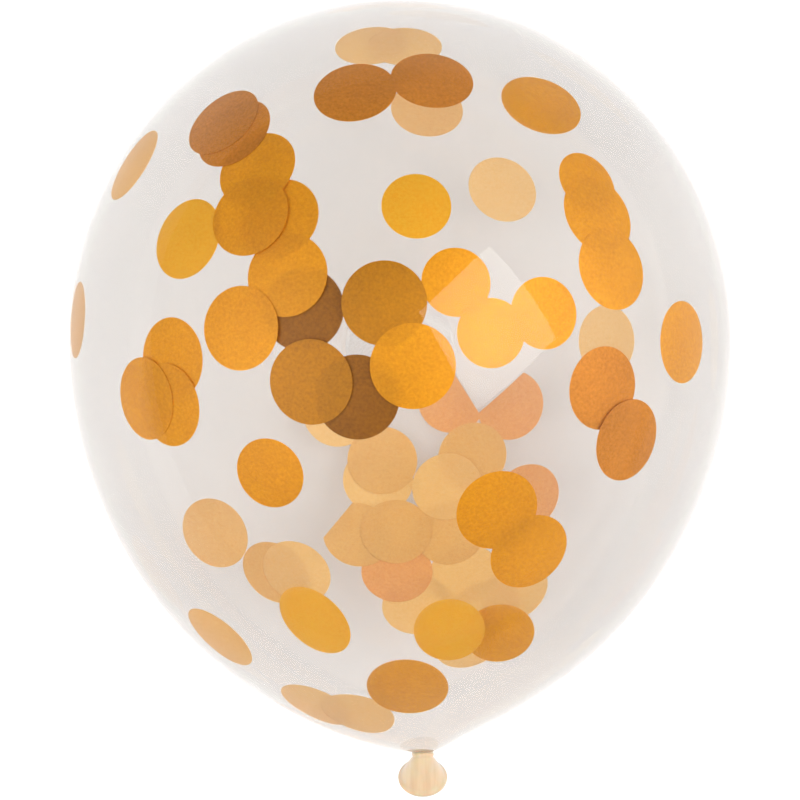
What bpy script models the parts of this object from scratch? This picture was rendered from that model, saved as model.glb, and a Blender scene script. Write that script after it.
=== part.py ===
"""Round latex party balloon, blown up, tied and lying on its side.

Metres, +Z up. The crown points to +Y and the tied neck to -Y. The origin is on the
surface that the balloon lies on, under the middle of its length and width.
The latex is one piece, from the crown to the rolled rim of its mouth. It is sealed,
so its body is one solid, and only the short tail beyond the knot is open.
"""

import math
from dataclasses import dataclass

import bmesh
import bpy
from mathutils import Vector

# Body
BODY_DIAMETER = 0.300
CROWN_LENGTH = 0.1555  # from the widest ring to the crown
TAPER_LENGTH = 0.1865  # from the widest ring to the end that runs into the neck
TAPER_SLIMMING = 0.14  # share by which it is slimmer than half an ellipse, all along
NECK_SLIMMING = 0.335  # share by which it slims further, towards the neck
NECK_SLIMMING_ORDER = 9.0  # how close to the neck that further slimming stays
FLAT_SPOT_RADIUS = 0.028  # half the width of the patch that the balloon lies on

# Neck and knot
NECK_OFFSET = 0.0104  # sideways, because the knot pulls the neck off the middle
NECK_OFFSET_ORDER = 40.0  # how close to the end that sideways pull stays
NECK_RADIUS = 0.0046  # where the knot grips it
KNOT_RADIUS = 0.0053
KNOT_LENGTH = 0.0030

# Tail beyond the knot
TAIL_DROOP = math.radians(61.0)  # it hangs down from the neck by this angle
TAIL_BEND_RADIUS = 0.0050
TAIL_STRAIGHT = 0.0118  # from the end of the bend to the middle of the rim
TAIL_WALL = 0.0006
MOUTH_RADIUS = 0.0098  # to the middle of the rolled rim
RIM_RADIUS = 0.0020  # of the roll itself
TAIL_HOLLOW_START = 0.0040  # how far past the bend the tail's inside begins

# Faces
SIDES = 60
CROWN_RINGS = 18
TAPER_RINGS = 26
KNOT_RINGS = 6
BEND_RINGS = 6
FLARE_RINGS = 6
RIM_RINGS = 10
SHARP_ANGLE = math.radians(50.0)

BODY_RADIUS = BODY_DIAMETER / 2
AXIS_HEIGHT = math.sqrt(BODY_RADIUS**2 - FLAT_SPOT_RADIUS**2)
TAIL_BEND = TAIL_BEND_RADIUS * TAIL_DROOP
TAIL_LENGTH = TAIL_BEND + TAIL_STRAIGHT


@dataclass(frozen=True)
class Ring:
    """One round section of the balloon: its middle, its radius and how far it droops."""

    middle: Vector
    radius: float
    droop: float = 0.0

    def points(self):
        """The ring's corners, in order round its middle."""
        across = Vector((1, 0, 0))
        up = Vector((0, -math.sin(self.droop), math.cos(self.droop)))
        turns = (2 * math.pi * side / SIDES for side in range(SIDES))
        return [
            self.middle + self.radius * (math.cos(turn) * across + math.sin(turn) * up)
            for turn in turns
        ]


def crown_rings():
    """Half an ellipse, from beside the crown's tip to the widest ring."""
    rings = []
    for step in range(1, CROWN_RINGS + 1):
        turn = math.pi / 2 * step / CROWN_RINGS
        along = CROWN_LENGTH * math.cos(turn)
        rings.append(Ring(Vector((0, along, 0)), BODY_RADIUS * math.sin(turn)))
    return rings


def taper_radius(reach):
    """Radius of the taper at a share of its length from the widest ring."""
    ellipse = math.sqrt(max(0.0, 1 - reach**2))
    slimming = TAPER_SLIMMING * reach**2 + NECK_SLIMMING * reach**NECK_SLIMMING_ORDER
    return BODY_RADIUS * ellipse * (1 - slimming)


def taper_rings():
    """The slimming half, down to where it is as narrow as the neck."""
    rings = []
    for step in range(1, TAPER_RINGS + 1):
        reach = math.sin(math.pi / 2 * step / TAPER_RINGS)
        radius = taper_radius(reach)
        if radius <= KNOT_RADIUS:
            break
        sideways = NECK_OFFSET * reach**NECK_OFFSET_ORDER
        rings.append(Ring(Vector((sideways, -TAPER_LENGTH * reach, 0)), radius))
    return rings


def knot_rings():
    """The knot, a round roll about the gripped neck."""
    swell = KNOT_RADIUS - NECK_RADIUS
    rings = []
    for step in range(KNOT_RINGS + 1):
        share = step / KNOT_RINGS
        radius = NECK_RADIUS + swell * math.sin(math.pi * share)
        middle = Vector((NECK_OFFSET, -TAPER_LENGTH - KNOT_LENGTH * share, 0))
        rings.append(Ring(middle, radius))
    return rings


def tail_place(along):
    """Middle and droop of the tail at a distance beyond the knot."""
    start = Vector((NECK_OFFSET, -TAPER_LENGTH - KNOT_LENGTH, 0))
    droop = min(along / TAIL_BEND_RADIUS, TAIL_DROOP)
    bend = Vector((0, -math.sin(droop), math.cos(droop) - 1)) * TAIL_BEND_RADIUS
    beyond = max(0.0, along - TAIL_BEND)
    straight = Vector((0, -math.cos(droop), -math.sin(droop))) * beyond
    return start + bend + straight, droop


def tail_radius(along):
    """Outer radius of the tail, which opens from the knot to the mouth like a horn."""
    share = along / TAIL_LENGTH
    opening = math.sin(math.pi / 2 * share)
    return NECK_RADIUS + (MOUTH_RADIUS - NECK_RADIUS) * opening


def tail_outer_rings():
    """The outside of the tail, round the bend and on to the rim."""
    stops = [TAIL_BEND * step / BEND_RINGS for step in range(1, BEND_RINGS + 1)]
    flare = TAIL_STRAIGHT - RIM_RADIUS
    stops += [TAIL_BEND + flare * step / FLARE_RINGS for step in range(1, FLARE_RINGS + 1)]
    return [Ring(*placed(along, tail_radius(along))) for along in stops]


def placed(along, radius):
    """Middle, radius and droop of a ring of the tail."""
    middle, droop = tail_place(along)
    return middle, radius, droop


def rim_rings():
    """The rolled rim, from the tail's outside round to its inside."""
    roll_start = math.radians(115.0)
    roll_end = math.radians(-115.0)
    rings = []
    for step in range(RIM_RINGS + 1):
        turn = roll_start + (roll_end - roll_start) * step / RIM_RINGS
        along = TAIL_LENGTH + RIM_RADIUS * math.cos(turn)
        radius = MOUTH_RADIUS + RIM_RADIUS * math.sin(turn)
        rings.append(Ring(*placed(along, radius)))
    return rings


def tail_inner_rings():
    """The inside of the tail, from the rim back towards the knot."""
    start = TAIL_LENGTH - RIM_RADIUS
    end = TAIL_BEND + TAIL_HOLLOW_START
    rings = []
    for step in range(1, FLARE_RINGS + 1):
        along = start + (end - start) * step / FLARE_RINGS
        rings.append(Ring(*placed(along, tail_radius(along) - TAIL_WALL)))
    return rings


def loft(mesh, rings, first_tip, last_tip):
    """Joins rings into one skin and closes each end with a fan about its tip."""
    loops = [[mesh.verts.new(point) for point in ring.points()] for ring in rings]
    for before, after in zip(loops, loops[1:]):
        for side in range(SIDES):
            beside = (side + 1) % SIDES
            mesh.faces.new((before[side], before[beside], after[beside], after[side]))
    for tip, loop in ((first_tip, loops[0]), (last_tip, loops[-1])):
        middle = mesh.verts.new(tip)
        for side in range(SIDES):
            mesh.faces.new((loop[side], loop[(side + 1) % SIDES], middle))
    bmesh.ops.recalc_face_normals(mesh, faces=mesh.faces)


def press_flat_spot(mesh):
    """Cuts the underside level with the surface below and closes the cut."""
    geometry = mesh.verts[:] + mesh.edges[:] + mesh.faces[:]
    cut = bmesh.ops.bisect_plane(
        mesh,
        geom=geometry,
        plane_co=(0, 0, 0),
        plane_no=(0, 0, -1),
        clear_outer=True,
    )
    edges = [item for item in cut["geom_cut"] if isinstance(item, bmesh.types.BMEdge)]
    bmesh.ops.edgeloop_fill(mesh, edges=edges)
    bmesh.ops.recalc_face_normals(mesh, faces=mesh.faces)
    return edges


def shade(mesh, spot_edges):
    """Rounds the whole skin, but for its sharp corners and the rim of the flat spot."""
    for face in mesh.faces:
        face.smooth = True
    for edge in mesh.edges:
        edge.smooth = edge.calc_face_angle() < SHARP_ANGLE
    for edge in spot_edges:
        edge.smooth = False


def centre_on_origin(mesh):
    """Lifts the balloon onto the surface, with the middle of its length at the origin."""
    lengths = [vert.co.y for vert in mesh.verts]
    middle = (min(lengths) + max(lengths)) / 2
    bmesh.ops.translate(mesh, verts=mesh.verts, vec=(0, -middle, AXIS_HEIGHT))


def latex():
    """Clear natural latex, a little creamy."""
    material = bpy.data.materials.new("clear_latex")
    material.use_nodes = True
    shader = material.node_tree.nodes["Principled BSDF"]
    shader.inputs["Base Color"].default_value = (0.83, 0.78, 0.72, 1)
    shader.inputs["Roughness"].default_value = 0.15
    shader.inputs["Metallic"].default_value = 0.0
    shader.inputs["Alpha"].default_value = 0.35
    return material


def balloon():
    """The whole latex piece: crown, taper, knot, and tail with its rolled rim."""
    rings = crown_rings() + taper_rings() + knot_rings() + tail_outer_rings()
    rings += rim_rings() + tail_inner_rings()
    hollow_tip, _ = tail_place(TAIL_BEND + TAIL_HOLLOW_START - TAIL_WALL)
    mesh = bmesh.new()
    loft(mesh, rings, Vector((0, CROWN_LENGTH, 0)), hollow_tip)
    centre_on_origin(mesh)
    shade(mesh, press_flat_spot(mesh))
    data = bpy.data.meshes.new("latex_balloon")
    mesh.to_mesh(data)
    mesh.free()
    data.materials.append(latex())
    piece = bpy.data.objects.new("latex_balloon", data)
    bpy.context.scene.collection.objects.link(piece)


def main():
    """Clears the scene and makes the balloon."""
    for old in list(bpy.data.objects):
        bpy.data.objects.remove(old)
    balloon()


main()
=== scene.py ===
"""Dresses a tied balloon of clear latex and fills it with round gold foil confetti.

The balloon lies on its side: its crown points to +Y, its neck to -Y, and the camera
looks straight down on it. Lengths are metres unless a name says otherwise.
"""

import logging
import math
import random
from dataclasses import dataclass
from enum import Enum
from typing import Any, Optional

import bpy
from mathutils import Matrix, Vector, noise


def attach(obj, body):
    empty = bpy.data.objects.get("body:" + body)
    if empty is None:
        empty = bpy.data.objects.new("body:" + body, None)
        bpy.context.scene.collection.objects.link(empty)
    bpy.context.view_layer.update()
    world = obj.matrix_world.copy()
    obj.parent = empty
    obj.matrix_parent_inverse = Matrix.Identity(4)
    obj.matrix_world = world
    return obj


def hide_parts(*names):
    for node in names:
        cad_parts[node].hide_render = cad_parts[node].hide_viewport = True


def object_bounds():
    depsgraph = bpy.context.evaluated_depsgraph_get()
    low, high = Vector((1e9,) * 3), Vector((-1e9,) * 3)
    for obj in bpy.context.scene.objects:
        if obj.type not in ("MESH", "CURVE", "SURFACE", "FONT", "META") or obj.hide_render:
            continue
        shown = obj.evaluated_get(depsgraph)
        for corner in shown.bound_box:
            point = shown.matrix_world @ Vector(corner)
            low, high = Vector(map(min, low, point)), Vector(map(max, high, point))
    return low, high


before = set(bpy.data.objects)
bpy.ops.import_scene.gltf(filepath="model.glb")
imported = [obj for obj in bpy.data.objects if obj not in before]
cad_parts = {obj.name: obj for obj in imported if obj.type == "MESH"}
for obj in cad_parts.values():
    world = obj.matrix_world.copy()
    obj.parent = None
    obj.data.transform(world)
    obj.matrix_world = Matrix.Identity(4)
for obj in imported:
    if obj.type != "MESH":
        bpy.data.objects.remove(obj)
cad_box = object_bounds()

logging.basicConfig(level=logging.INFO, format="%(name)s: %(message)s")
log = logging.getLogger("confetti balloon")

MM = 0.001

# The sockets that a Mix node uses for colours are known by number alone
MIX_SHARE, MIX_FROM, MIX_TO = 0, 6, 7
MIX_COLOUR = 2


# Tools


def linear(hex_colour: str) -> tuple[float, float, float, float]:
    """Turns an sRGB hex colour into the linear one that shaders and lamps work in.

    Args:
        hex_colour: six hex digits, such as "e09c32".

    Returns:
        Red, green, blue and an alpha of 1.
    """
    parts = [int(hex_colour[place : place + 2], 16) / 255 for place in (0, 2, 4)]
    red, green, blue = (
        part / 12.92 if part <= 0.04045 else ((part + 0.055) / 1.055) ** 2.4 for part in parts
    )
    return red, green, blue, 1.0


def direction(tilt: float, bearing: float) -> Vector:
    """Turns two angles into a unit vector.

    Args:
        tilt: degrees off the vertical.
        bearing: degrees from +X towards +Y.

    Returns:
        The unit vector.
    """
    tilt, bearing = math.radians(tilt), math.radians(bearing)
    return Vector(
        (
            math.sin(tilt) * math.cos(bearing),
            math.sin(tilt) * math.sin(bearing),
            math.cos(tilt),
        )
    )


def facing(normal: Vector) -> Matrix:
    """The turn that points a piece's +Z along a normal."""
    return normal.to_track_quat("Z", "Y").to_matrix().to_4x4()


def add_node(
    tree: bpy.types.NodeTree, kind: str, inputs: dict[Any, Any], **settings: Any
) -> bpy.types.Node:
    """Adds a node, sets it up and links or fills its inputs.

    Args:
        tree: the node tree that it goes in.
        kind: the node's type, such as "ShaderNodeTexNoise".
        inputs: for each input's name or number, a value or the output to link to it.
        settings: the node's own properties.

    Returns:
        The new node.
    """
    node = tree.nodes.new(kind)
    for name, value in settings.items():
        setattr(node, name, value)
    for name, value in inputs.items():
        if isinstance(value, bpy.types.NodeSocket):
            tree.links.new(value, node.inputs[name])
        else:
            node.inputs[name].default_value = value
    return node


def new_material(name: str) -> tuple[bpy.types.Material, bpy.types.NodeTree, bpy.types.Node]:
    """Makes a material with an empty node tree but for its output.

    Args:
        name: what the real stuff is called.

    Returns:
        The material, its node tree and its output node.
    """
    material = bpy.data.materials.new(name)
    material.use_nodes = True
    tree = material.node_tree
    tree.nodes.clear()
    return material, tree, tree.nodes.new("ShaderNodeOutputMaterial")


def deselect_all() -> None:
    """Leaves object mode with nothing selected."""
    if bpy.context.object and bpy.context.object.mode != "OBJECT":
        bpy.ops.object.mode_set(mode="OBJECT")
    bpy.ops.object.select_all(action="DESELECT")


def make_active(piece: bpy.types.Object) -> None:
    """Selects one piece alone, for the operators that follow.

    Args:
        piece: the piece.
    """
    deselect_all()
    piece.select_set(True)
    bpy.context.view_layer.objects.active = piece


def apply_modifier(piece: bpy.types.Object, kind: str, **settings: Any) -> None:
    """Adds a modifier to a piece and applies it at once.

    Args:
        piece: the piece, which is left selected.
        kind: the modifier's type.
        settings: the modifier's own properties.
    """
    make_active(piece)
    modifier = piece.modifiers.new(kind.title(), kind)
    for name, value in settings.items():
        setattr(modifier, name, value)
    bpy.ops.object.modifier_apply(modifier=modifier.name)


# Finishes


@dataclass(frozen=True)
class StretchedLatex:
    """Clear natural latex, dipped and blown up to a film of about 0.06 mm.

    It is glossy and very clear close up. Its rubber scatters a share of the light that
    goes through, so what lies far behind it looks pale, as through a thin mist.
    """

    tint: str = "b4a698"
    cloudy_tint: str = "968a80"
    edge_tint: str = "352719"  # edge on, more film lies in the line of sight
    neck_tint: str = "a87c46"  # the film is thicker and yellower towards the neck
    neck_tint_start: float = -125 * MM  # along Y
    neck_tint_full: float = -162 * MM
    cloud_mm: float = 45.5
    share_seen: float = 0.37  # of what is seen, the share that the film itself gives
    mist: float = 0.95
    bending: float = 1.22  # less than solid rubber bends light, because the film is thin
    gloss: float = 0.04
    gloss_bending: float = 1.6
    ripple_mm: float = 60.0
    ripple_height_mm: float = 4.0
    ripple_strength: float = 0.12

    def colour(self, tree: bpy.types.NodeTree, place: bpy.types.NodeSocket) -> Any:
        """Mixes the film's tints, by its clouds, its place and the angle it is seen at.

        Args:
            tree: the film's node tree.
            place: the output with its Object coordinates.

        Returns:
            The output with the colour.
        """
        along = add_node(tree, "ShaderNodeSeparateXYZ", {"Vector": place}).outputs["Y"]
        near_neck = add_node(
            tree,
            "ShaderNodeMapRange",
            {"Value": along, "From Min": self.neck_tint_start, "From Max": self.neck_tint_full},
            interpolation_type="SMOOTHSTEP",
        ).outputs["Result"]
        clouds = add_node(
            tree,
            "ShaderNodeTexNoise",
            {"Vector": place, "Scale": 1000 / self.cloud_mm, "Detail": 2.0},
        ).outputs["Fac"]
        edge_on = add_node(tree, "ShaderNodeLayerWeight", {"Blend": 0.5}).outputs["Facing"]
        colour: Any = linear(self.tint)
        for share, other in (
            (clouds, self.cloudy_tint),
            (near_neck, self.neck_tint),
            (edge_on, self.edge_tint),
        ):
            colour = add_node(
                tree,
                "ShaderNodeMix",
                {MIX_SHARE: share, MIX_FROM: colour, MIX_TO: linear(other)},
                data_type="RGBA",
            ).outputs[MIX_COLOUR]
        return colour

    def material(self) -> bpy.types.Material:
        """Builds the film's material.

        Returns:
            The material.
        """
        material, tree, output = new_material("stretched_clear_latex")
        place = add_node(tree, "ShaderNodeTexCoord", {}).outputs["Object"]
        colour = self.colour(tree, place)
        ripple = add_node(
            tree,
            "ShaderNodeTexNoise",
            {"Vector": place, "Scale": 1000 / self.ripple_mm, "Detail": 1.0},
        )
        bump = add_node(
            tree,
            "ShaderNodeBump",
            {
                "Height": ripple.outputs["Fac"],
                "Strength": self.ripple_strength,
                "Distance": self.ripple_height_mm * MM,
            },
        )
        film = add_node(
            tree,
            "ShaderNodeBsdfPrincipled",
            {
                "Base Color": colour,
                "Roughness": self.mist,
                "IOR": self.bending,
                "Alpha": self.share_seen,
                "Transmission Weight": 1.0,
                "Coat Weight": 1.0,
                "Coat Roughness": self.gloss,
                "Coat IOR": self.gloss_bending,
                "Coat Normal": bump.outputs["Normal"],
            },
        )
        tree.links.new(film.outputs["BSDF"], output.inputs["Surface"])
        return material


@dataclass(frozen=True)
class SlackLatex:
    """The same latex where it isn't stretched: thick, creamy and only just see-through.

    The pull of the knot pleats it lengthwise. The pleats are bumped, and their streaks of shade
    are also painted darker into its colour.
    """

    tint: str = "c4b498"
    pleat_shade_tint: str = "a38866"
    pleat_mm: float = 3.5  # from one pleat to the next
    pleat_length_mm: float = 30.0
    pleat_height_mm: float = 1.5
    pleat_strength: float = 0.5

    def material(self) -> bpy.types.Material:
        """Builds the knot's and the tail's material.

        Returns:
            The material.
        """
        material, tree, output = new_material("slack_natural_latex")
        place = add_node(tree, "ShaderNodeTexCoord", {}).outputs["Object"]
        across, along = 1000 / self.pleat_mm, 1000 / self.pleat_length_mm
        streaked = add_node(
            tree, "ShaderNodeMapping", {"Vector": place, "Scale": Vector((across, along, along))}
        ).outputs["Vector"]
        streaks = add_node(
            tree, "ShaderNodeTexNoise", {"Vector": streaked, "Scale": 1.0, "Detail": 2.0}
        ).outputs["Fac"]
        pleats = add_node(
            tree,
            "ShaderNodeBump",
            {
                "Height": streaks,
                "Strength": self.pleat_strength,
                "Distance": self.pleat_height_mm * MM,
            },
        ).outputs["Normal"]
        # painted shade: the colour darkens along the streaks of the pleats
        colour = add_node(
            tree,
            "ShaderNodeMix",
            {MIX_SHARE: streaks, MIX_FROM: linear(self.tint), MIX_TO: linear(self.pleat_shade_tint)},
            data_type="RGBA",
        )
        rubber = add_node(
            tree,
            "ShaderNodeBsdfPrincipled",
            {
                "Base Color": colour.outputs[MIX_COLOUR],
                "Roughness": 0.28,
                "IOR": 1.5,
                "Alpha": 0.9,
                "Subsurface Weight": 0.6,
                "Subsurface Scale": 3 * MM,
                "Coat Weight": 0.5,
                "Coat Roughness": 0.08,
                "Normal": pleats,
                "Coat Normal": pleats,
            },
        )
        tree.links.new(rubber.outputs["BSDF"], output.inputs["Surface"])
        return material


class FoilTone(Enum):
    """The golds of the foil: one lacquered gold, and copies of it with a painted highlight,
    painted shade or a painted glow of light through the foil, by how each disc lies to the
    light.
    """

    LACQUERED = "lacquered"  # warm yellow gold, as most of the upper discs are
    PAINTED_HIGHLIGHT = "bright"  # a lighter, yellower gold: a painted highlight, where the foil catches the softbox
    PLAIN = "plain"  # a shade browner: painted shade, for discs turned from the light
    SHADED = "shaded"  # darker: painted shade, for discs under the camera
    DEEP_PAINTED_SHADE = "deep"  # brown: painted shade, for discs under other discs
    BACKLIT_INNER = "inner"  # the inner side of the foil, pale partly through both the film and the mist and partly from a painted glow of light shining through it
    BACKLIT_PEACHY = "peachy"  # the same painted glow, redder
    BACKLIT_PALE = "pale"  # the same painted glow, lightest


@dataclass(frozen=True)
class GoldFoil:
    """Punched metallic foil: a gold mirror made matt by a fine grain, a little translucent.

    The grain breaks the gloss up, so a disc looks evenly gold with a soft, dusty glow and
    shows slow, faint blotches where the lacquer is thicker.
    """

    name: str
    gold: str
    deep_gold: str
    grain_mm: float = 1.2  # drawn coarser than the real 0.1 mm, to show at all
    blotch_mm: float = 22.0
    share_metal: float = 0.34
    share_let_through: float = 0.6  # of what is not metal
    roughness: float = 0.48
    grain_contrast: float = 1.9
    blotch_contrast: float = 0.45
    gold_bias: float = -0.7  # keeps the deep gold to the crests of the grain

    def deepness(self, tree: bpy.types.NodeTree) -> tuple[Any, Any]:
        """Draws the grain and the blotches.

        Args:
            tree: the foil's node tree.

        Returns:
            The output with the grain, and that with the share of deep gold.
        """
        place = add_node(tree, "ShaderNodeTexCoord", {}).outputs["Object"]
        grain, blotch = (
            add_node(
                tree,
                "ShaderNodeTexNoise",
                {"Vector": place, "Scale": 1000 / size, "Detail": detail},
            ).outputs["Fac"]
            for size, detail in ((self.grain_mm, 2.0), (self.blotch_mm, 0.0))
        )
        share: Any = self.gold_bias
        for pattern, contrast in ((grain, self.grain_contrast), (blotch, self.blotch_contrast)):
            share = add_node(
                tree,
                "ShaderNodeMath",
                {0: pattern, 1: contrast, 2: share},
                operation="MULTIPLY_ADD",
            ).outputs[0]
        return grain, share

    def material(self) -> bpy.types.Material:
        """Builds the material of one tone of the confetti.

        Returns:
            The material.
        """
        material, tree, output = new_material(self.name)
        grain, share = self.deepness(tree)
        colour = add_node(
            tree,
            "ShaderNodeMix",
            {MIX_SHARE: share, MIX_FROM: linear(self.gold), MIX_TO: linear(self.deep_gold)},
            data_type="RGBA",
        )
        bump = add_node(
            tree, "ShaderNodeBump", {"Height": grain, "Strength": 0.15, "Distance": 0.2 * MM}
        )
        foil = add_node(
            tree,
            "ShaderNodeBsdfPrincipled",
            {
                "Base Color": colour.outputs[MIX_COLOUR],
                "Metallic": self.share_metal,
                "Roughness": self.roughness,
                "Specular IOR Level": 0.1,
                "Transmission Weight": self.share_let_through,
                "Normal": bump.outputs["Normal"],
            },
        )
        tree.links.new(foil.outputs["BSDF"], output.inputs["Surface"])
        return material


# Past the lacquered gold, each tone is a lit or shaded copy of the same foil, with its
# highlight, shade or backlit glow painted into the colour.
FOILS = {
    FoilTone.LACQUERED: GoldFoil("lacquered_gold_foil", "ffba06", "e49c03"),
    FoilTone.PAINTED_HIGHLIGHT: GoldFoil("painted_highlight_gold_foil", "ffce34", "fbba24"),
    FoilTone.PLAIN: GoldFoil("soft_painted_shade_gold_foil", "f0a01c", "ca800a"),
    FoilTone.SHADED: GoldFoil("painted_shade_gold_foil", "e09c04", "c08003"),
    FoilTone.DEEP_PAINTED_SHADE: GoldFoil("deep_painted_shade_gold_foil", "b47402", "905a01"),
    FoilTone.BACKLIT_INNER: GoldFoil(
        "backlit_inner_gold_foil", "f0c270", "e6ae56", share_metal=0.05, share_let_through=0.4
    ),
    FoilTone.BACKLIT_PEACHY: GoldFoil(
        "backlit_peachy_gold_foil", "f8b868", "e89c52", share_metal=0.08, share_let_through=0.4
    ),
    FoilTone.BACKLIT_PALE: GoldFoil(
        "backlit_pale_gold_foil", "fbd78c", "f5c66e", share_metal=0.03, share_let_through=0.5
    ),
}


# The latex


@dataclass(frozen=True)
class Station:
    """Where one ring of the latex goes: its middle, its radius and how far it droops."""

    middle: Vector
    radius: float
    droop: float = 0.0


@dataclass
class LatexBalloon:
    """The blown-up latex, one piece from its crown to the rolled rim of its mouth."""

    radius: float = 150 * MM
    crown_length: float = 155.5 * MM
    taper_length: float = 186.5 * MM
    taper_slimming: float = 0.14
    neck_slimming: float = 0.335
    neck_slimming_order: float = 9.0
    flat_spot_radius: float = 28 * MM
    neck_offset: float = 10.4 * MM
    neck_offset_order: float = 40.0
    neck_radius: float = 4.8 * MM
    knot_radius: float = 5.1 * MM
    knot_length: float = 2.0 * MM
    tail_droop: float = math.radians(42.0)
    tail_bend_radius: float = 5.0 * MM
    tail_straight: float = 9.6 * MM
    tail_wall: float = 0.6 * MM
    tail_hollow_start: float = 4.0 * MM
    mouth_radius: float = 9.8 * MM
    flare_order: float = 1.05
    rim_radius: float = 1.5 * MM
    rim_proud: float = 1.3 * MM  # how far the roll stands out from the flare
    rim_arc: float = math.radians(125.0)  # to either side of the roll's outermost line
    slack_from: float = 0.5 * MM  # how far before the knot the slack latex begins
    sides: int = 128
    crown_rings: int = 40
    taper_rings: int = 60
    knot_rings: int = 8
    bend_rings: int = 8
    flare_rings: int = 12
    rim_rings: int = 14
    inside_rings: int = 8
    cut_slack: float = 0.001 * MM
    sharp_angle: float = math.radians(50.0)

    def __post_init__(self) -> None:
        """Works out the sizes that follow from the others."""
        self.tail_bend = self.tail_bend_radius * self.tail_droop
        self.tail_length = self.tail_bend + self.tail_straight
        self.axis_height = math.sqrt(self.radius**2 - self.flat_spot_radius**2)
        self.widest_y = cad_box[1].y - self.crown_length

    def taper_radius(self, reach: float) -> float:
        """Works out the radius of the taper.

        Args:
            reach: how far along the taper, from 0 at the widest ring to 1.

        Returns:
            The radius there.
        """
        slimming = self.taper_slimming * reach**2
        slimming += self.neck_slimming * reach**self.neck_slimming_order
        return self.radius * math.sqrt(max(0.0, 1 - reach**2)) * (1 - slimming)

    def tail_place(self, along: float) -> tuple[Vector, float]:
        """Follows the tail round its bend and straight on.

        Args:
            along: the distance beyond the knot.

        Returns:
            The middle of the tail and its droop there.
        """
        start = Vector((self.neck_offset, -self.taper_length - self.knot_length, 0))
        droop = min(along / self.tail_bend_radius, self.tail_droop)
        bend = Vector((0, -math.sin(droop), math.cos(droop) - 1)) * self.tail_bend_radius
        beyond = max(0.0, along - self.tail_bend)
        return start + bend + Vector((0, -math.cos(droop), -math.sin(droop))) * beyond, droop

    def tail_radius(self, along: float) -> float:
        """Works out the outer radius of the tail, which opens like a horn.

        Args:
            along: the distance beyond the knot.

        Returns:
            The radius there.
        """
        opening = min(1.0, along / (self.tail_length - self.rim_radius)) ** self.flare_order
        widest = self.mouth_radius + self.rim_radius - self.rim_proud
        return self.neck_radius + (widest - self.neck_radius) * opening

    def tail_station(self, along: float, radius: float) -> Station:
        """A ring of the tail, at a distance beyond the knot."""
        middle, droop = self.tail_place(along)
        return Station(middle, radius, droop)

    def crown(self) -> list[Station]:
        """Lays out half an ellipse, from beside the crown's tip to the widest ring.

        Returns:
            Its rings, in order.
        """
        rings = []
        for step in range(1, self.crown_rings + 1):
            turn = math.pi / 2 * step / self.crown_rings
            middle = Vector((0, self.crown_length * math.cos(turn), 0))
            rings.append(Station(middle, self.radius * math.sin(turn)))
        return rings

    def taper(self) -> list[Station]:
        """Lays out the slimming half, down to where it is as narrow as the knot.

        Returns:
            Its rings, in order.
        """
        rings = []
        for step in range(1, self.taper_rings + 1):
            reach = math.sin(math.pi / 2 * step / self.taper_rings)
            radius = self.taper_radius(reach)
            if radius <= self.knot_radius:
                break
            sideways = self.neck_offset * reach**self.neck_offset_order
            rings.append(Station(Vector((sideways, -self.taper_length * reach, 0)), radius))
        return rings

    def knot(self) -> list[Station]:
        """Lays out the knot, a round roll about the gripped neck.

        Returns:
            Its rings, in order.
        """
        rings = []
        for step in range(self.knot_rings + 1):
            share = step / self.knot_rings
            swell = (self.knot_radius - self.neck_radius) * math.sin(math.pi * share)
            along = -self.taper_length - self.knot_length * share
            rings.append(Station(Vector((self.neck_offset, along, 0)), self.neck_radius + swell))
        return rings

    def tail_outside(self) -> list[Station]:
        """Lays out the outside of the tail, round the bend and on to the rim.

        Returns:
            Its rings, in order.
        """
        flare = self.tail_straight - self.rim_radius
        bend_steps = range(1, self.bend_rings + 1)
        flare_steps = range(1, self.flare_rings + 1)
        stops = [self.tail_bend * step / self.bend_rings for step in bend_steps]
        stops += [self.tail_bend + flare * step / self.flare_rings for step in flare_steps]
        return [self.tail_station(along, self.tail_radius(along)) for along in stops]

    def rim(self) -> list[Station]:
        """Lays out the rolled rim, from the tail's outside round to its inside.

        Returns:
            Its rings, in order.
        """
        rings = []
        for step in range(self.rim_rings + 1):
            turn = self.rim_arc * (1 - 2 * step / self.rim_rings)
            along = self.tail_length + self.rim_radius * math.cos(turn)
            radius = self.mouth_radius + self.rim_radius * math.sin(turn)
            rings.append(self.tail_station(along, radius))
        return rings

    def tail_inside(self) -> list[Station]:
        """Lays out the inside of the tail, from the rim back towards the knot.

        Returns:
            Its rings, in order.
        """
        start = self.tail_length - self.rim_radius
        end = self.tail_bend + self.tail_hollow_start
        rings = []
        for step in range(1, self.inside_rings + 1):
            along = start + (end - start) * step / self.inside_rings
            rings.append(self.tail_station(along, self.tail_radius(along) - self.tail_wall))
        return rings

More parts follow.
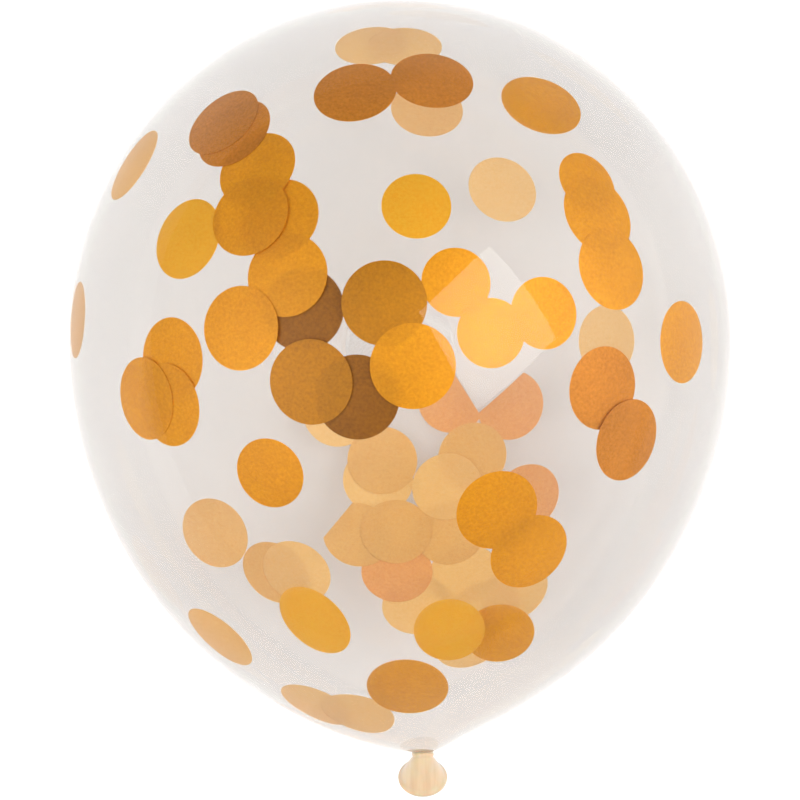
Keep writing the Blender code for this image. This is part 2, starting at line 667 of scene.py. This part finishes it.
    def model(self) -> bpy.types.Object:
        """Extrudes and scales a ring from the crown to the tail, then cuts the flat spot.

        Returns:
            The piece, without its finishes.
        """
        rings = self.crown() + self.taper() + self.knot()
        rings += self.tail_outside() + self.rim() + self.tail_inside()
        lift = Vector((0, self.widest_y, self.axis_height))
        deselect_all()
        bpy.ops.mesh.primitive_circle_add(
            vertices=self.sides,
            radius=rings[0].radius,
            fill_type="TRIFAN",
            location=rings[0].middle + lift,
            rotation=(math.pi / 2, 0, 0),
        )
        piece = bpy.context.object
        piece.name = piece.data.name = "balloon_latex"
        bpy.ops.object.transform_apply(location=True, rotation=True, scale=True)
        bpy.ops.object.mode_set(mode="EDIT")
        bpy.ops.mesh.select_all(action="SELECT")
        for before, ring in zip(rings, rings[1:]):
            bpy.ops.mesh.extrude_region_move(
                TRANSFORM_OT_translate={"value": ring.middle - before.middle}
            )
            grown = ring.radius / before.radius
            bpy.ops.transform.resize(
                value=(grown, grown, grown), center_override=ring.middle + lift
            )
            if ring.droop != before.droop:
                bpy.ops.transform.rotate(
                    value=-(ring.droop - before.droop),
                    orient_axis="X",
                    center_override=ring.middle + lift,
                )
        bpy.ops.mesh.select_all(action="SELECT")
        bpy.ops.mesh.bisect(
            plane_co=(0, 0, 0),
            plane_no=(0, 0, 1),
            use_fill=True,
            clear_inner=True,
            threshold=self.cut_slack,
        )
        bpy.ops.mesh.select_all(action="SELECT")
        bpy.ops.mesh.normals_make_consistent(inside=False)
        bpy.ops.object.mode_set(mode="OBJECT")
        bpy.ops.object.shade_smooth_by_angle(angle=self.sharp_angle)
        return piece

    def build(self) -> bpy.types.Object:
        """Models the latex, gives it its two finishes and puts it in the node's place.

        Returns:
            The finished piece.
        """
        piece = self.model()
        piece.data.materials.append(StretchedLatex().material())
        piece.data.materials.append(SlackLatex().material())
        knot_y = self.widest_y - self.taper_length
        for face in piece.data.polygons:
            face.material_index = int(face.center.y < knot_y + self.slack_from)
        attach(piece, "root")
        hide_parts("latex_balloon")
        return piece


# The confetti


class Wall(Enum):
    """Which half of the lying balloon's wall a disc clings to."""

    UPPER = "upper"
    LOWER = "lower"


class Punch(Enum):
    """The sizes that the foil was punched in, by diameter."""

    LARGE = 35.5 * MM
    MEDIUM = 30.3 * MM
    SMALL = 29.0 * MM


@dataclass(frozen=True)
class Disc:
    """One disc of confetti, placed by where it shows in the picture.

    It lies against the wall and bends with it, unless it leans.
    """

    across: float  # pixels from the picture's left side
    down: float  # pixels from its top
    wall: Wall
    punch: Punch
    layer: float = 0.0  # how many discs lie between it and the wall
    face: Optional[tuple[float, float]] = None  # its own tilt and bearing, where it leans
    fold: Optional[tuple[float, float]] = None  # bearing, and share of the radius, of a fold
    # its gold, or a copy of it with a painted highlight, shade or glow
    tone: FoilTone = FoilTone.LACQUERED


UP, LOW = Wall.UPPER, Wall.LOWER
BIG, MEDIUM, SMALL = Punch.LARGE, Punch.MEDIUM, Punch.SMALL
PAINTED_HIGHLIGHT, PLAIN, SHADED, DEEP_PAINTED_SHADE = FoilTone.PAINTED_HIGHLIGHT, FoilTone.PLAIN, FoilTone.SHADED, FoilTone.DEEP_PAINTED_SHADE
BACKLIT_INNER, BACKLIT_PEACHY, BACKLIT_PALE = FoilTone.BACKLIT_INNER, FoilTone.BACKLIT_PEACHY, FoilTone.BACKLIT_PALE

CONFETTI = (
    # crown
    Disc(355, 92, UP, BIG, tone=PLAIN),
    Disc(432, 80, UP, BIG, 1, tone=PLAIN),
    Disc(540, 107, UP, BIG, face=(46.0, 68.0)),
    Disc(372, 46, LOW, BIG, tone=BACKLIT_PALE),
    Disc(405, 47, LOW, BIG, 1, tone=BACKLIT_PALE),
    Disc(427, 110, LOW, BIG, tone=BACKLIT_INNER),
    Disc(502, 190, LOW, BIG, tone=BACKLIT_PALE),
    Disc(416.5, 206, UP, SMALL, tone=PAINTED_HIGHLIGHT),
    Disc(134, 165, UP, BIG, tone=BACKLIT_INNER),
    # upper left chain
    Disc(223, 122, UP, BIG, tone=PLAIN),
    Disc(234, 133, UP, BIG, 1, tone=PLAIN),
    Disc(257, 169, UP, BIG, 2),
    Disc(250, 216, UP, BIG, 1),
    Disc(279, 218, UP, BIG, 6),
    Disc(187.5, 238.5, UP, BIG, 2, tone=PAINTED_HIGHLIGHT),
    Disc(287, 275, UP, BIG, 5),
    Disc(303, 309, UP, BIG, 9, tone=DEEP_PAINTED_SHADE),
    Disc(240.5, 328, UP, BIG, 3),
    # left pair
    Disc(172, 359, UP, BIG, 4),
    Disc(146, 398.5, UP, BIG, 0),
    Disc(169, 405, UP, BIG, 1),
    Disc(78, 320, LOW, BIG, tone=BACKLIT_INNER),
    # middle
    Disc(384, 303, UP, BIG, 1, tone=SHADED),
    Disc(413, 366, UP, BIG, 0),
    Disc(311, 382, UP, BIG, 0, tone=SHADED),
    Disc(357, 397, UP, BIG, 4, tone=DEEP_PAINTED_SHADE),
    Disc(456, 282, UP, SMALL, 2),
    Disc(491, 333, UP, SMALL, 0),
    Disc(544, 313, UP, MEDIUM, 1),
    # right chain
    Disc(587.5, 183, UP, SMALL, 2),
    Disc(598, 215, UP, BIG, 1),
    Disc(611.5, 268.5, UP, BIG, 0),
    Disc(606, 341, LOW, BIG, tone=BACKLIT_PALE),
    Disc(682, 342, UP, BIG),
    Disc(603, 388, UP, BIG, 4, tone=PLAIN),
    Disc(627, 440, UP, BIG, 0, tone=PLAIN),
    # lower wall
    Disc(452, 398, LOW, BIG, 1, fold=(32.0, 0.42), tone=BACKLIT_PEACHY),
    Disc(510, 405, LOW, BIG, 1, fold=(132.0, 0.46), tone=BACKLIT_PEACHY),
    Disc(337, 412, LOW, BIG, 0, tone=BACKLIT_PALE),
    Disc(382.5, 460, LOW, BIG, 2, tone=BACKLIT_INNER),
    Disc(378, 480, LOW, BIG, 0, tone=BACKLIT_PALE),
    Disc(472, 456, LOW, BIG, 2, tone=BACKLIT_INNER),
    Disc(446.5, 486, LOW, BIG, 4, tone=BACKLIT_PALE),
    Disc(526, 497, LOW, BIG, 1, tone=BACKLIT_PEACHY),
    Disc(358, 534, LOW, BIG, 2, fold=(140.0, 0.7), tone=BACKLIT_INNER),
    Disc(396, 531, LOW, BIG, 4, tone=BACKLIT_INNER),
    Disc(450, 532, LOW, BIG, 2, tone=BACKLIT_INNER),
    Disc(397, 571, LOW, BIG, 1, tone=BACKLIT_PEACHY),
    Disc(463, 574, LOW, BIG, 0, tone=BACKLIT_PALE),
    Disc(418, 605, LOW, BIG, 0, tone=BACKLIT_PALE),
    Disc(514, 592, LOW, BIG, 1, tone=BACKLIT_PALE),
    Disc(469, 641, LOW, BIG, 1, tone=BACKLIT_PALE),
    Disc(484, 609, LOW, BIG, 2, tone=BACKLIT_PALE),
    # lower right
    Disc(497, 510, UP, BIG, 0),
    Disc(529, 551.5, UP, BIG, 2),
    Disc(449, 628.5, UP, MEDIUM, 0, face=(27.0, 274.0), tone=PAINTED_HIGHLIGHT),
    Disc(498.5, 631.5, UP, MEDIUM, 1, face=(32.0, 278.0)),
    Disc(407.5, 684.5, UP, BIG, face=(44.0, 266.0)),
    # lower left
    Disc(270, 473, UP, MEDIUM),
    Disc(217, 531.5, LOW, BIG, face=(40.0, 37.0), tone=BACKLIT_INNER),
    Disc(276, 572, LOW, BIG, 0, tone=BACKLIT_INNER),
    Disc(297, 571, LOW, BIG, 1, tone=BACKLIT_PALE),
    Disc(315.5, 618.5, UP, BIG, face=(49.0, 228.0), tone=PAINTED_HIGHLIGHT),
    Disc(220, 637, UP, BIG, tone=BACKLIT_INNER),
    Disc(316, 704, LOW, BIG, tone=BACKLIT_PALE),
    Disc(358, 713, LOW, BIG, 1, tone=BACKLIT_PALE),
)


@dataclass
class Confetti:
    """The foil discs, each laid on the inside of the latex wall."""

    latex: bpy.types.Object
    camera: "Camera"
    foil: float = 0.12 * MM
    wall_gap: float = 0.25 * MM
    layer_gap: float = 0.25 * MM
    wall_bend: float = 155 * MM  # the wall's own radius, about
    aim_tries: int = 3
    lean_step: float = 0.2 * MM
    hinge_width: float = 0.01 * MM
    warp: float = 0.05 * MM
    warp_waves: float = 45.0  # to the metre, so that a disc has one or two
    warp_span: float = 99.0  # how far apart the discs draw their waves from
    sides: int = 56
    rings: int = 6
    sharp_angle: float = math.radians(40.0)
    seed: int = 7

    def blank(self, punch: Punch) -> bpy.types.Object:
        """Punches one flat disc and insets it into rings, so that it can bend.

        Args:
            punch: which of the three sizes.

        Returns:
            The flat disc about the origin, which is copied and then deleted.
        """
        deselect_all()
        radius = punch.value / 2
        bpy.ops.mesh.primitive_circle_add(vertices=self.sides, radius=radius, fill_type="NGON")
        bpy.ops.object.mode_set(mode="EDIT")
        bpy.ops.mesh.select_all(action="SELECT")
        for _ in range(self.rings - 1):
            bpy.ops.mesh.inset(thickness=radius / self.rings)
        bpy.ops.mesh.poke()
        bpy.ops.object.mode_set(mode="OBJECT")
        return bpy.context.object

    def depth(self, disc: Disc) -> float:
        """How far a disc's outer face lies inside the wall."""
        return self.wall_gap + self.layer_gap * disc.layer

    def lie(self, disc: Disc) -> tuple[Vector, Vector]:
        """Finds where a disc's middle meets the wall.

        The rim of a bent disc lies deeper than its middle, and its outline is what shows,
        so the ray is shifted by as much.

        Args:
            disc: the disc.

        Returns:
            The place on the wall and the wall's outward normal there.
        """
        sunk = self.depth(disc) + (disc.punch.value / 2) ** 2 / 2 / self.wall_bend
        shift = Vector((0, 0, 0))
        for _ in range(self.aim_tries):
            start = self.camera.eye()
            ray = (self.camera.seen(disc.across, disc.down) + shift - start).normalized()
            if disc.wall is Wall.LOWER:
                start, ray = start + ray * 2 * self.camera.distance, -ray
            hit, place, normal, _ = self.latex.ray_cast(start, ray)
            if not hit:
                raise ValueError(f"the disc at {disc.across}, {disc.down} misses the balloon")
            shift = Vector((normal.x, normal.y, 0)) * sunk
        return place, normal

    def clears(self, piece: bpy.types.Object, gap: float) -> bool:
        """Tells whether all of a disc lies inside the wall by at least a gap.

        Args:
            piece: the disc, in its place.
            gap: the gap.

        Returns:
            True if it does.
        """
        for vertex in piece.data.vertices:
            _, place, normal, _ = self.latex.closest_point_on_mesh(vertex.co)
            if (vertex.co - place).dot(normal) > -gap:
                return False
        return True

    def lean(self, piece: bpy.types.Object, disc: Disc) -> Vector:
        """Leans a flat disc with its edge against the wall, along the camera's ray.

        Args:
            piece: the flat disc about the origin.
            disc: where it goes and how its face is turned.

        Returns:
            The outward normal of the disc's face.
        """
        normal = direction(*disc.face)
        place, _ = self.lie(disc)
        ray = (place - self.camera.eye()).normalized()
        step = ray if disc.wall is Wall.UPPER else -ray
        piece.data.transform(Matrix.Translation(place) @ facing(normal))
        moved = 0.0
        while not self.clears(piece, self.depth(disc)):
            piece.data.transform(Matrix.Translation(step * self.lean_step))
            moved += self.lean_step
            if moved > disc.punch.value:
                raise ValueError(f"the disc at {disc.across}, {disc.down} finds no room")
        return normal if disc.wall is Wall.UPPER else -normal

    def bend(self, piece: bpy.types.Object, disc: Disc) -> Vector:
        """Bends a disc along the inside of the wall.

        Args:
            piece: the flat disc about the origin.
            disc: where it goes.

        Returns:
            The wall's outward normal there.
        """
        place, normal = self.lie(disc)
        piece.data.transform(Matrix.Translation(place) @ facing(normal))
        apply_modifier(
            piece,
            "SHRINKWRAP",
            target=self.latex,
            wrap_method="NEAREST_SURFACEPOINT",
            wrap_mode="ABOVE_SURFACE",
            offset=-self.depth(disc),
        )
        return normal

    def crease(self, piece: bpy.types.Object, disc: Disc) -> list[int]:
        """Folds a flap of a disc flat behind it, before the disc is bent to the wall.

        Args:
            piece: the flat disc about the origin.
            disc: its entry, with the bearing and the reach of the fold.

        Returns:
            The numbers of the flap's vertices.
        """
        bearing, reach = disc.fold
        _, normal = self.lie(disc)
        seen = direction(90.0, bearing)
        way = facing(normal).inverted() @ (seen - normal * seen.dot(normal))
        way = Vector((way.x, way.y, 0)).normalized()
        hinge = way * reach * disc.punch.value / 2
        make_active(piece)
        bpy.ops.object.mode_set(mode="EDIT")
        bpy.ops.mesh.select_all(action="SELECT")
        bpy.ops.mesh.bisect(plane_co=hinge, plane_no=way)
        bpy.ops.object.mode_set(mode="OBJECT")
        flap = []
        for vertex in piece.data.vertices:
            beyond = (vertex.co - hinge).dot(way)
            if beyond > self.hinge_width:
                vertex.co -= way * beyond * 2
                flap.append(vertex.index)
        return flap

    def lay(
        self, disc: Disc, blank: bpy.types.Object, name: str, dice: random.Random
    ) -> bpy.types.Object:
        """Copies a flat disc, lays it inside the wall and warps it a little.

        The warp and the flap move single vertices, which no operator does as evenly.

        Args:
            disc: where it goes.
            blank: the flat disc to copy.
            name: the new piece's name.
            dice: a seeded source of small differences.

        Returns:
            The finished disc.
        """
        piece = bpy.data.objects.new(name, blank.data.copy())
        piece.data.name = name
        bpy.context.scene.collection.objects.link(piece)
        piece.data.transform(Matrix.Rotation(dice.uniform(0, math.tau), 4, "Z"))
        flap = self.crease(piece, disc) if disc.fold else []
        normal = self.lean(piece, disc) if disc.face else self.bend(piece, disc)
        start = Vector([dice.uniform(0, self.warp_span) for _ in range(3)])
        for vertex in piece.data.vertices:
            wave = noise.noise(vertex.co * self.warp_waves + start)
            vertex.co -= normal * self.warp * (1 + wave)
            vertex.co.z = max(vertex.co.z, self.wall_gap)
        for number in flap:
            piece.data.vertices[number].co += normal * self.layer_gap
        apply_modifier(piece, "SOLIDIFY", thickness=self.foil, offset=0.0)
        bpy.ops.object.shade_smooth_by_angle(angle=self.sharp_angle)
        return piece

    def build(self) -> list[bpy.types.Object]:
        """Lays every disc and gives it the foil of its tone.

        Returns:
            The finished discs.
        """
        bpy.context.view_layer.update()
        foils = {tone: foil.material() for tone, foil in FOILS.items()}
        blanks = {punch: self.blank(punch) for punch in Punch}
        dice = random.Random(self.seed)
        pieces = []
        for number, disc in enumerate(CONFETTI, 1):
            piece = self.lay(disc, blanks[disc.punch], f"confetti_{number:02d}", dice)
            piece.data.materials.append(foils[disc.tone])
            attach(piece, "root")
            pieces.append(piece)
        for blank in blanks.values():
            bpy.data.objects.remove(blank)
        return pieces


# The studio


@dataclass(frozen=True)
class Camera:
    """A long lens straight above the balloon, with the crown at the top of the picture."""

    aim: Vector
    distance: float = 1.4
    sensor_mm: float = 36.0
    picture_pixels: int = 800
    pixel: float = 0.456 * MM  # at the height of the balloon's axis

    def eye(self) -> Vector:
        """Where the camera stands."""
        return self.aim + Vector((0, 0, self.distance))

    def seen(self, across: float, down: float) -> Vector:
        """The point at the height of the balloon's axis that a pixel shows."""
        half = self.picture_pixels / 2
        return self.aim + Vector((across - half, half - down, 0)) * self.pixel

    def build(self) -> bpy.types.Object:
        """Makes the camera the scene's own.

        Returns:
            The camera.
        """
        data = bpy.data.cameras.new("camera")
        data.sensor_width = self.sensor_mm
        data.lens = self.sensor_mm * self.distance / (self.picture_pixels * self.pixel)
        camera = bpy.data.objects.new("camera", data)
        camera.location = self.eye()
        bpy.context.scene.collection.objects.link(camera)
        bpy.context.scene.camera = camera
        return camera


AIM_BELOW_WIDEST = 57  # pixels from the balloon's widest ring to the picture's middle


@dataclass(frozen=True)
class Softbox:
    """One rectangular softbox, aimed at the balloon."""

    name: str
    tilt: float  # degrees that it stands off the vertical
    bearing: float  # degrees from +X towards +Y
    distance: float
    width: float
    height: float
    brightness: float  # beside white paper in the middle of the picture
    spin: float = 0.0  # degrees about the line to the balloon
    mirrored: bool = True

    def build(self, target: Vector) -> bpy.types.Object:
        """Hangs the softbox and turns its face to the balloon.

        Args:
            target: the point that it faces.

        Returns:
            The lamp.
        """
        data = bpy.data.lights.new(self.name, "AREA")
        data.shape = "RECTANGLE"
        data.size, data.size_y = self.width, self.height
        data.energy = self.brightness * math.pi * self.width * self.height
        way = direction(self.tilt, self.bearing)
        lamp = bpy.data.objects.new(self.name, data)
        lamp.visible_glossy = self.mirrored
        lamp.matrix_world = (
            Matrix.Translation(target + way * self.distance)
            @ facing(way)
            @ Matrix.Rotation(math.radians(self.spin), 4, "Z")
        )
        bpy.context.scene.collection.objects.link(lamp)
        return lamp


# The key softbox gives the four-sided reflection beside the balloon's middle. The silks
# to its left and right only fill, so that the latex shows no more reflections.
SOFTBOXES = (
    Softbox("key_softbox", 28.6, 9.7, 1.35, 0.81, 0.78, brightness=4.3, spin=28.0),
    Softbox("left_silk", 45.0, 190.0, 1.8, 2.0, 2.0, brightness=5.5, mirrored=False),
    Softbox("right_silk", 55.0, 5.0, 1.8, 1.6, 1.6, brightness=5.7, mirrored=False),
)


@dataclass(frozen=True)
class Studio:
    """A white table, three softboxes, and the pale room round them."""

    table_size: float = 9.0
    table_white: str = "a8a8a8"
    table_glow: float = 0.5  # it is lit from below
    overhead: float = 0.08
    ceiling_height: float = 0.85  # how steep a look up meets the ceiling, 1 being overhead
    horizon: float = 1.05
    beyond_crown: float = 0.75  # share of the horizon's light that is left there
    far_left: float = 0.2  # the same, to the left

    def build_table(self) -> bpy.types.Object:
        """Lays the table top that the balloon lies on: matt white laminate, lit from below.

        Returns:
            The table.
        """
        deselect_all()
        bpy.ops.mesh.primitive_plane_add(size=self.table_size)
        table = bpy.context.object
        table.name = "table"
        material, tree, output = new_material("white_laminate")
        top = add_node(
            tree,
            "ShaderNodeBsdfPrincipled",
            {
                "Base Color": linear(self.table_white),
                "Roughness": 0.7,
                "Emission Color": linear("ffffff"),
                "Emission Strength": self.table_glow,
            },
        )
        tree.links.new(top.outputs["BSDF"], output.inputs["Surface"])
        table.data.materials.append(material)
        return table

    def build_room(self) -> None:
        """Lights the room from its pale walls, with a dark ceiling and a dimmer left side."""
        world = bpy.data.worlds.new("room")
        world.use_nodes = True
        tree = world.node_tree
        tree.nodes.clear()
        way = add_node(tree, "ShaderNodeTexCoord", {}).outputs["Generated"]
        split = add_node(tree, "ShaderNodeSeparateXYZ", {"Vector": way}).outputs
        light: Any = None
        for axis, near, far, first, last in (
            ("Z", 0.0, self.ceiling_height, self.horizon, self.overhead),
            ("Y", -0.2, 0.8, 1.0, self.beyond_crown),
            ("X", 0.1, -0.9, 1.0, self.far_left),
        ):
            share = add_node(
                tree,
                "ShaderNodeMapRange",
                {
                    "Value": split[axis],
                    "From Min": near,
                    "From Max": far,
                    "To Min": first,
                    "To Max": last,
                },
            ).outputs["Result"]
            if light is None:
                light = share
                continue
            light = add_node(
                tree, "ShaderNodeMath", {0: light, 1: share}, operation="MULTIPLY"
            ).outputs[0]
        room = add_node(
            tree,
            "ShaderNodeBackground",
            {"Color": linear("ffffff"), "Strength": light},
        )
        output = tree.nodes.new("ShaderNodeOutputWorld")
        tree.links.new(room.outputs["Background"], output.inputs["Surface"])
        bpy.context.scene.world = world

    def set_light_paths(self) -> None:
        """Lets light pass through every layer of film and foil, without a colour grade."""
        scene = bpy.context.scene
        scene.view_settings.view_transform = "Standard"
        scene.view_settings.look = "None"
        scene.cycles.transparent_max_bounces = 32
        scene.cycles.transmission_bounces = 16
        scene.cycles.max_bounces = 20
        scene.cycles.glossy_bounces = 8
        scene.cycles.diffuse_bounces = 6

    def build(self, target: Vector) -> list[bpy.types.Object]:
        """Sets up the table, the room and the softboxes.

        Args:
            target: the middle of the balloon.

        Returns:
            The table and the lamps.
        """
        table = self.build_table()
        self.build_room()
        lamps = [softbox.build(target) for softbox in SOFTBOXES]
        self.set_light_paths()
        return [table, *lamps]


def main() -> None:
    """Builds the balloon, its confetti and the studio, and reports each piece."""
    balloon = LatexBalloon()
    latex = balloon.build()
    log.info("%s: %d faces", latex.name, len(latex.data.polygons))

    aim_y = balloon.widest_y - AIM_BELOW_WIDEST * Camera.pixel
    camera = Camera(aim=Vector((0, aim_y, balloon.axis_height)))
    camera.build()
    discs = Confetti(latex, camera).build()
    for piece in discs:
        log.info("%s: %d faces", piece.name, len(piece.data.polygons))
    log.info("confetti: %d discs", len(discs))

    for piece in Studio().build(Vector((0, balloon.widest_y, balloon.axis_height))):
        log.info("%s: stands in the studio", piece.name)


if __name__ == "__main__":
    main()
